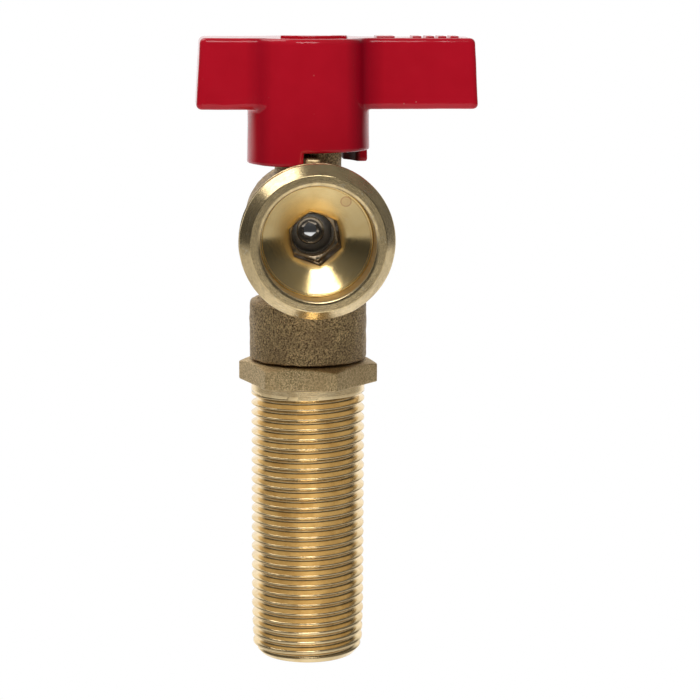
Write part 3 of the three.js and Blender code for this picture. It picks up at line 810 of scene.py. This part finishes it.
def handle_outline(x, y, z):
    """Fields of the hub alone and of the hub with both arms, whose widths taper along them."""
    fall = np.clip((HUB_TOP - z) / (HUB_TOP - WING_BOTTOM), 0, 1)
    hub = disc(x, y, HUB_R - HUB_TAPER * np.clip((z - SKIRT_LOW) / (HUB_TOP - SKIRT_LOW), 0, 1))
    short = round_both(np.abs(y) - (6.9 + 0.6 * x / 20),
                       np.maximum(-x - SHORT_END - END_DRAFT * fall, x), END_R)
    long = round_both(np.abs(y) - (5.1 - 0.6 * x / 30),
                      np.maximum(x - LONG_END - END_DRAFT * fall, -x), END_R)
    return hub, blend_min(blend_min(hub, short, 1.4), blend_min(hub, long, 1.0), 0.01)


def handle_cuts(p):
    """What is cut from the handle from below and above, each with the easing of its edge."""
    x, y, z = p
    low_left = np.maximum(x - LOW_LEFT[0], y - LOW_LEFT[1])
    low_right = np.maximum(np.maximum(LOW_RIGHT[1] - y, LOW_RIGHT[0] - x), y - LOW_RIGHT[2])
    yield np.maximum(z - SKIRT_STEP, -np.minimum(low_left, low_right)), 0.45
    yield pillar(x, y, z, SKIRT_HOLLOW_R, 30, 50.4, 0.8), 0.5
    yield pillar(x, y, z, SCREW_WELL_R, SCREW_WELL_FLOOR, 70, 0.3), 0.6
    drive_hole = pillar(x, y, z, DRIVE_HOLE_R, 45, DRIVE_HOLE_TOP, 0.2)
    yield np.maximum(drive_hole, np.abs(x) - DRIVE_HOLE_HALF), 0.2
    yield pillar(x, y, z, SCREW_HOLE_R, 55, 65, 0.1), 0.2
    for low, high in ARM_RECESSES:
        yield rounded_box(p, low, high, 0.6), 0.7


def handle_piece():
    """Two-armed lever over a round skirt, hollowed below, with a well for the screw on top."""
    coat = ripples([4.0, 7.0])

    def field(p):
        x, y, z = p
        hub, plan = handle_outline(x, y, z)
        upper = round_both(plan, slab(z, WING_BOTTOM, HUB_TOP), TOP_EDGE_R)
        skirt = round_both(hub, slab(z, SKIRT_LOW, 55), 0.4)
        plain = np.minimum(upper, skirt)
        near_arm = np.clip(hub - plan, 0, 1)
        shape = plain + (blend_min(upper, skirt, 0.7) - plain) * near_arm
        for tool, edge in handle_cuts(p):
            shape = cut(shape, tool, edge)
        return shape + COAT_DEPTH * coat(p)
    points, faces = shaped(field, (-21.2, -11.8, 39.2), (31.3, 11.8, 63.2), 0.3)
    mesh_piece("handle_casting", points, faces, "handle_and_stem", ["handle"], RED)


BARS = [(12.0, 15.3), (18.5, 20.1), (20.9, 22.4), (23.1, 24.6), (25.3, 26.8)]
BAR_HALF, BAR_HEIGHT = 2.4, 0.3
MARK_ROOT, MARK_HEIGHT = 0.5, 0.5                    # how far a mark goes into the handle and stands out
ARROW_R, ARROW_HALF = 7.3, 0.75


def arm_bar(number, start, end):
    def field(p):
        return rounded_box(p, low, high, 0.16)
    low = np.array([start, -BAR_HALF, HUB_TOP - MARK_ROOT])
    high = np.array([end, BAR_HALF, HUB_TOP + BAR_HEIGHT])
    points, faces = shaped(field, low - 0.3, high + 0.3, 0.12)
    mesh_piece(f"arm_bar_{number}", points, faces, "handle_and_stem", [], RED)


def turn_arrow():
    """Curved arrow in front of the screw: a band from -132 to -48 degrees, and a head at its right end."""
    def field(p):
        x, y, z = p
        angle = np.degrees(np.arctan2(y, x))
        across = np.abs(np.hypot(x, y) - ARROW_R)
        sweep = np.radians(np.abs(angle + 90) - 42) * ARROW_R
        head_along = np.radians(angle + 48) * ARROW_R
        head = np.maximum(-head_along, (head_along * 0.75 + across) - 2.0)
        flat = np.minimum(np.maximum(across - ARROW_HALF, sweep), head)
        return round_both(flat, slab(z, HUB_TOP - MARK_ROOT, HUB_TOP + MARK_HEIGHT), 0.2)
    points, faces = shaped(field, (-9.6, -9.9, HUB_TOP - 0.8), (9.6, -0.5, HUB_TOP + 0.8), 0.14)
    mesh_piece("turn_arrow", points, faces, "handle_and_stem", [], RED)


SCREW_HEAD_R, SCREW_HEAD_HEIGHT, SCREW_SHANK_R = 3.5, 1.5, 1.6
CROSS_HALF, CROSS_REACH, CROSS_DEPTH, CROSS_ANGLE = 0.45, 2.1, 1.1, 25
WASHER_INNER, WASHER_OUTER = 2.1, 3.7
SPLIT_ANGLE, SPLIT_HALF, SPLIT_LEAN, SPLIT_HEIGHT = 130, 0.4, 0.3, 59.9


def screw_piece():
    """Cross-recess screw that holds the handle on the stem."""
    def field(p):
        x, y, z = p
        top = SCREW_HIGH[2]
        head = pillar(x, y, z, SCREW_HEAD_R, top - SCREW_HEAD_HEIGHT, top, 0.55)
        shape = blend_min(head, pillar(x, y, z, SCREW_SHANK_R, SCREW_LOW[2], 61, 0.3), 0.2)
        u, v = (np.abs(side) for side in turn_by(CROSS_ANGLE, x, y))
        arms = np.minimum(np.maximum(u - CROSS_HALF, v - CROSS_REACH),
                          np.maximum(v - CROSS_HALF, u - CROSS_REACH))
        return cut(shape, np.maximum(arms, top - CROSS_DEPTH - z), 0.2)
    points, faces = shaped(field, (-3.9, -3.9, 50.8), (3.9, 3.9, SCREW_HIGH[2] + 0.4), 0.14)
    mesh_piece("cross_screw", points, faces, "handle_and_stem", ["handle_screw"], STEEL)


def lock_washer():
    """Spring washer with a leaning split."""
    low, high = WASHER_LOW[2], WASHER_HIGH[2]

    def field(p):
        x, y, z = p
        ring = round_both(disc(x, y, WASHER_OUTER), -disc(x, y, WASHER_INNER), 0.1)
        ring = round_both(ring, slab(z, low, high), 0.12)
        along, across = turn_by(SPLIT_ANGLE, x, y)
        split = np.abs(across + SPLIT_LEAN * (z - SPLIT_HEIGHT)) - SPLIT_HALF
        return cut(ring, np.maximum(split, -along), 0.1)
    points, faces = shaped(field, (-4, -4, low - 0.3), (4, 4, high + 0.3), 0.12)
    mesh_piece("split_washer", points, faces, "handle_and_stem",
               ["handle_lock_washer"], STEEL)


def build_valve():
    body_casting()
    outlet_thread()
    shank_thread()
    hex_flange()
    seat_retainer()
    ball_piece()
    seat_ring("front_seat_ring", "front_seat", -1)
    seat_ring("rear_seat_ring", "rear_seat", 1)
    o_ring("retainer_seal", "retainer_o_ring", "valve", 8.9, -11.35, lies_along_outlet=True)
    stem_piece()
    for name, height in zip(("lower_stem", "upper_stem"), GROOVE_HEIGHTS):
        o_ring(f"{name}_seal", f"{name}_o_ring", "handle_and_stem", STEM_GROOVE_MAJOR, height)
    thrust_ring()
    handle_piece()
    for number, (start, end) in enumerate(BARS, start=1):
        arm_bar(number, start, end)
    turn_arrow()
    lock_washer()
    screw_piece()


# ---- stage, light and camera -------------------------------------------------------------------
ROOM_LOW, ROOM_HIGH = 0.046, 0.17                    # brightness of the room in front, low down and high up
TABLE, TABLE_SIDE = 0.86, 0.5                        # brightness of the table, in front and to the sides
TABLE_EDGE, EDGE_BLUR = -0.165, 0.03                 # where the table ends, as the z of a direction
BACKDROP = 1.0
FLOOR_REACH = 40.0                                   # metres
FLOOR_GAP = 0.05
EYE = (-28.08, -397.77, 76.23)
EYE_RIGHT, EYE_UP = (0.99603, -0.08887, 0.00466), (0.01093, 0.17414, 0.98466)
FOCAL_LENGTH, SENSOR = 113.6, 36.0


def pale_floor():
    """A white floor that only the camera sees; the studio below stands for it in reflections."""
    mesh = bpy.data.meshes.new("pale_floor")
    reach, height = FLOOR_REACH, (SHANK_END - FLOOR_GAP) * MM
    mesh.from_pydata([(-reach, -reach, height), (reach, -reach, height), (reach, reach, height),
                      (-reach, reach, height)], [], [(0, 1, 2, 3)])
    floor = bpy.data.objects.new("pale_floor", mesh)
    bpy.context.collection.objects.link(floor)
    material = bpy.data.materials.new("floor_white")
    material.use_nodes = True
    material.node_tree.nodes.clear()
    tree = Tree(material.node_tree)
    glow = tree.add("ShaderNodeEmission")
    glow.inputs["Color"].default_value = (1, 1, 1, 1)
    glow.inputs["Strength"].default_value = 1.0
    tree.link(glow.outputs[0], tree.add("ShaderNodeOutputMaterial").inputs[0])
    mesh.materials.append(material)
    floor.visible_glossy = floor.visible_diffuse = floor.visible_shadow = False


def softbox(name, place, aim, width, length, radiance):
    """A rectangular light at place that faces aim."""
    light = bpy.data.lights.new(name, "AREA")
    light.shape, light.size, light.size_y = "RECTANGLE", width * MM, length * MM
    light.energy = radiance * math.pi * light.size * light.size_y
    lamp = bpy.data.objects.new(name, light)
    bpy.context.collection.objects.link(lamp)
    lamp.location = Vector(place) * MM
    lamp.rotation_euler = (Vector(aim) - Vector(place)).to_track_quat("-Z", "Y").to_euler()


def surroundings():
    """The studio: a white table in front, a dim room above it and a bright backdrop behind."""
    world = bpy.data.worlds.new("studio")
    bpy.context.scene.world = world
    world.use_nodes = True
    world.node_tree.nodes.clear()
    n = Tree(world.node_tree)
    split = n.add("ShaderNodeSeparateXYZ")
    n.link(n.add("ShaderNodeTexCoord").outputs["Generated"], split.inputs[0])
    x, y, z = split.outputs
    behind = n.ramp(y, 0.45, 0.85, shape="SMOOTHSTEP")
    room = n.ramp(z, 0.0, 0.8, ROOM_LOW, ROOM_HIGH, shape="SMOOTHSTEP")
    table = n.ramp(n.math("ABSOLUTE", x), 0.05, 0.8, TABLE, TABLE_SIDE, shape="SMOOTHSTEP")
    above_edge = n.ramp(z, TABLE_EDGE - EDGE_BLUR, TABLE_EDGE + EDGE_BLUR, shape="SMOOTHSTEP")
    brightness = n.between(n.between(table, BACKDROP, behind), n.between(room, BACKDROP, behind), above_edge)
    studio_light, white = n.add("ShaderNodeBackground"), n.add("ShaderNodeBackground")
    for background in (studio_light, white):
        background.inputs["Color"].default_value = (1, 1, 1, 1)
    n.link(brightness, studio_light.inputs["Strength"])
    choose = n.add("ShaderNodeMixShader")
    n.link(n.add("ShaderNodeLightPath").outputs["Is Camera Ray"], choose.inputs[0])
    n.link(studio_light.outputs[0], choose.inputs[1])
    n.link(white.outputs[0], choose.inputs[2])
    n.link(choose.outputs[0], n.add("ShaderNodeOutputWorld").inputs[0])


def camera():
    """The viewing position: 0.4 m in front, a little left and above, looking slightly down."""
    data = bpy.data.cameras.new("camera")
    data.lens, data.sensor_width = FOCAL_LENGTH, SENSOR
    data.clip_start, data.clip_end = 0.01, 20
    eye = bpy.data.objects.new("camera", data)
    bpy.context.collection.objects.link(eye)
    right, up = Vector(EYE_RIGHT), Vector(EYE_UP)
    turn = Matrix((right, up, right.cross(up))).transposed().to_4x4()
    eye.matrix_world = Matrix.Translation(Vector(EYE) * MM) @ turn
    bpy.context.scene.camera = eye


def studio():
    bpy.context.scene.view_settings.view_transform = "Standard"
    pale_floor()
    surroundings()
    softbox("front_softbox", (-30, -270, 325), (0, -10, 25), 230, 150, 5.0)
    softbox("top_softbox", (-210, 125, 385), (0, 0, 30), 230, 230, 2.6)
    camera()


build_valve()
studio()
